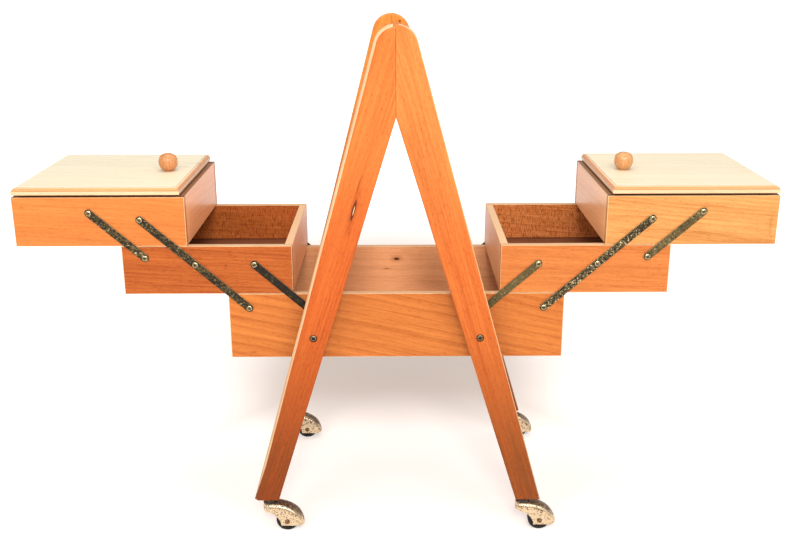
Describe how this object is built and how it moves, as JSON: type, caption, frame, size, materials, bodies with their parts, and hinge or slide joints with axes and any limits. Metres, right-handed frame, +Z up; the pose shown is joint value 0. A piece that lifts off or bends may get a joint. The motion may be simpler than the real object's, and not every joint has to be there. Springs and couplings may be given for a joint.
{
  "type": "cantilever sewing box",
  "caption": "Wooden cantilever sewing box with trays that swing out on steel links, lidded top trays and a dowel handle, hung between A-frames on castors.",
  "frame": {"origin": "on the ground, under the middle of the base box", "axes": "+X along the box towards the right-hand trays, -Y the front, +Z up"},
  "size_m": [0.9874, 0.2994, 0.6801],
  "materials": {
    "front_wood": "satin varnished beech",
    "end_wood": "satin varnished beech",
    "floor_wood": "thin plywood, varnished",
    "lid_wood": "satin varnished beech",
    "leg_wood": "satin varnished beech",
    "knob_wood": "turned and varnished",
    "link_steel": "tarnished",
    "screw_steel": "tarnished",
    "brass": "pitted and tarnished",
    "black_wheel": "worn"
  },
  "bodies": {
    "root": {"base_front": "front_wood", "base_back": "front_wood", "base_left_end": "end_wood", "base_right_end": "end_wood", "base_floor": "floor_wood", "front_left_leg": "leg_wood", "front_right_leg": "leg_wood", "back_left_leg": "leg_wood", "back_right_leg": "leg_wood", "handle_dowel": "knob_wood", "leg_screws": "screw_steel", "leg_spacers": "leg_wood", "base_pivot_screws": "screw_steel", "castor_sockets": "brass"},
    "left_long_links": {"left_long_links": "link_steel"},
    "left_lower_links": {"left_lower_links": "link_steel"},
    "left_upper_links": {"left_upper_links": "link_steel"},
    "left_mid_tray": {"left_mid_front": "front_wood", "left_mid_back": "front_wood", "left_mid_inner_end": "end_wood", "left_mid_outer_end": "end_wood", "left_mid_floor": "floor_wood", "left_mid_pivot_screws": "screw_steel"},
    "left_top_tray": {"left_top_front": "front_wood", "left_top_back": "front_wood", "left_top_inner_end": "end_wood", "left_top_outer_end": "end_wood", "left_top_floor": "floor_wood", "left_top_pivot_screws": "screw_steel", "left_hinge_fixed_leaves": "brass"},
    "left_lid": {"left_lid": "lid_wood", "left_knob": "knob_wood", "left_hinge_lid_leaves": "brass"},
    "right_long_links": {"right_long_links": "link_steel"},
    "right_lower_links": {"right_lower_links": "link_steel"},
    "right_upper_links": {"right_upper_links": "link_steel"},
    "right_mid_tray": {"right_mid_front": "front_wood", "right_mid_back": "front_wood", "right_mid_inner_end": "end_wood", "right_mid_outer_end": "end_wood", "right_mid_floor": "floor_wood", "right_mid_pivot_screws": "screw_steel"},
    "right_top_tray": {"right_top_front": "front_wood", "right_top_back": "front_wood", "right_top_inner_end": "end_wood", "right_top_outer_end": "end_wood", "right_top_floor": "floor_wood", "right_top_pivot_screws": "screw_steel", "right_hinge_fixed_leaves": "brass"},
    "right_lid": {"right_lid": "lid_wood", "right_knob": "knob_wood", "right_hinge_lid_leaves": "brass"},
    "front_left_castor": {"front_left_castor_fork": "brass"},
    "front_left_wheel": {"front_left_castor_wheel": "black_wheel"},
    "front_right_castor": {"front_right_castor_fork": "brass"},
    "front_right_wheel": {"front_right_castor_wheel": "black_wheel"},
    "back_left_castor": {"back_left_castor_fork": "brass"},
    "back_left_wheel": {"back_left_castor_wheel": "black_wheel"},
    "back_right_castor": {"back_right_castor_fork": "brass"},
    "back_right_wheel": {"back_right_castor_wheel": "black_wheel"}
  },
  "joints": [
    {"name": "left_fold", "type": "hinge", "parent": "root", "child": "left_long_links", "pos_m": [-0.1931, 0, 0.3159], "axis": [0, 1, 0], "range_deg": [0, 96.7]},
    {"name": "left_mid_level", "type": "hinge", "parent": "left_long_links", "child": "left_mid_tray", "pos_m": [-0.26035, 0, 0.37571], "axis": [0, 1, 0], "range_deg": [-97, 0]},
    {"name": "left_top_level", "type": "hinge", "parent": "left_long_links", "child": "left_top_tray", "pos_m": [-0.3276, 0, 0.43552], "axis": [0, 1, 0], "range_deg": [-97, 0]},
    {"name": "left_lower_swing", "type": "hinge", "parent": "root", "child": "left_lower_links", "pos_m": [-0.1168, 0, 0.3159], "axis": [0, 1, 0], "range_deg": [0, 97]},
    {"name": "left_upper_swing", "type": "hinge", "parent": "left_mid_tray", "child": "left_upper_links", "pos_m": [-0.32455, 0, 0.38491], "axis": [0, 1, 0], "range_deg": [0, 97]},
    {"name": "left_lid_open", "type": "hinge", "parent": "left_top_tray", "child": "left_lid", "pos_m": [-0.4915, 0, 0.46625], "axis": [0, -1, 0], "range_deg": [0, 105]},
    {"name": "right_fold", "type": "hinge", "parent": "root", "child": "right_long_links", "pos_m": [0.1931, 0, 0.3159], "axis": [0, -1, 0], "range_deg": [0, 96.7]},
    {"name": "right_mid_level", "type": "hinge", "parent": "right_long_links", "child": "right_mid_tray", "pos_m": [0.26035, 0, 0.37571], "axis": [0, -1, 0], "range_deg": [-97, 0]},
    {"name": "right_top_level", "type": "hinge", "parent": "right_long_links", "child": "right_top_tray", "pos_m": [0.3276, 0, 0.43552], "axis": [0, -1, 0], "range_deg": [-97, 0]},
    {"name": "right_lower_swing", "type": "hinge", "parent": "root", "child": "right_lower_links", "pos_m": [0.1168, 0, 0.3159], "axis": [0, -1, 0], "range_deg": [0, 97]},
    {"name": "right_upper_swing", "type": "hinge", "parent": "right_mid_tray", "child": "right_upper_links", "pos_m": [0.32455, 0, 0.38491], "axis": [0, -1, 0], "range_deg": [0, 97]},
    {"name": "right_lid_open", "type": "hinge", "parent": "right_top_tray", "child": "right_lid", "pos_m": [0.4915, 0, 0.46625], "axis": [0, 1, 0], "range_deg": [0, 105]},
    {"name": "front_left_swivel", "type": "hinge", "parent": "root", "child": "front_left_castor", "pos_m": [-0.1734, -0.138, 0.0417], "axis": [0, 0, 1], "continuous": true},
    {"name": "front_left_roll", "type": "hinge", "parent": "front_left_castor", "child": "front_left_wheel", "pos_m": [-0.1512, -0.138, 0.0155], "axis": [0, 1, 0], "continuous": true},
    {"name": "front_right_swivel", "type": "hinge", "parent": "root", "child": "front_right_castor", "pos_m": [0.1734, -0.138, 0.0417], "axis": [0, 0, 1], "continuous": true},
    {"name": "front_right_roll", "type": "hinge", "parent": "front_right_castor", "child": "front_right_wheel", "pos_m": [0.1956, -0.138, 0.0155], "axis": [0, 1, 0], "continuous": true},
    {"name": "back_left_swivel", "type": "hinge", "parent": "root", "child": "back_left_castor", "pos_m": [-0.16925, 0.138, 0.0417], "axis": [0, 0, 1], "continuous": true},
    {"name": "back_left_roll", "type": "hinge", "parent": "back_left_castor", "child": "back_left_wheel", "pos_m": [-0.14705, 0.138, 0.0155], "axis": [0, 1, 0], "continuous": true},
    {"name": "back_right_swivel", "type": "hinge", "parent": "root", "child": "back_right_castor", "pos_m": [0.17755, 0.138, 0.0417], "axis": [0, 0, 1], "continuous": true},
    {"name": "back_right_roll", "type": "hinge", "parent": "back_right_castor", "child": "back_right_wheel", "pos_m": [0.19975, 0.138, 0.0155], "axis": [0, 1, 0], "continuous": true}
  ],
  "couplings": [
    {"joint": "left_mid_level", "follows": "left_fold", "ratio": -1},
    {"joint": "left_top_level", "follows": "left_fold", "ratio": -1},
    {"joint": "left_lower_swing", "follows": "left_fold", "ratio": 1},
    {"joint": "left_upper_swing", "follows": "left_fold", "ratio": 1},
    {"joint": "right_mid_level", "follows": "right_fold", "ratio": -1},
    {"joint": "right_top_level", "follows": "right_fold", "ratio": -1},
    {"joint": "right_lower_swing", "follows": "right_fold", "ratio": 1},
    {"joint": "right_upper_swing", "follows": "right_fold", "ratio": 1}
  ]
}
